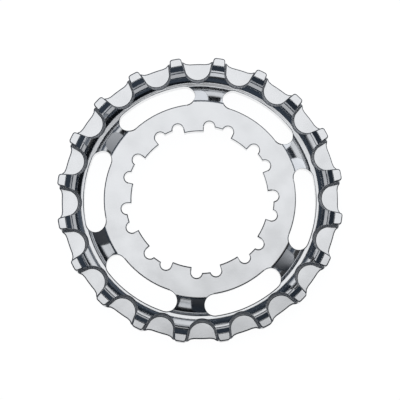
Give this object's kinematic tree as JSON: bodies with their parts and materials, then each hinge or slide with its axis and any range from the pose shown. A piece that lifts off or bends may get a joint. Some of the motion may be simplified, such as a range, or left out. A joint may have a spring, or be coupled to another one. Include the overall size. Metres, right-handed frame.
{
  "type": "belt drive sprocket",
  "caption": "Toothed belt sprocket with a centre flange, round-floored gaps, sloping spokes and a splined bore for a bicycle's rear wheel.",
  "frame": {"origin": "on the sprocket's axis, in the middle plane of the centre flange", "axes": "+Z along the axis, towards the front (outboard) side with the hub disc; +Y through the middle of a tooth gap, a window and a wide spline tooth"},
  "size_m": [0.0676, 0.0676, 0.0112],
  "materials": {
    "steel": "fine turned steel with a bright satin nickel look, darker in the gaps"
  },
  "bodies": {
    "root": {"sprocket": "steel"}
  },
  "joints": []
}
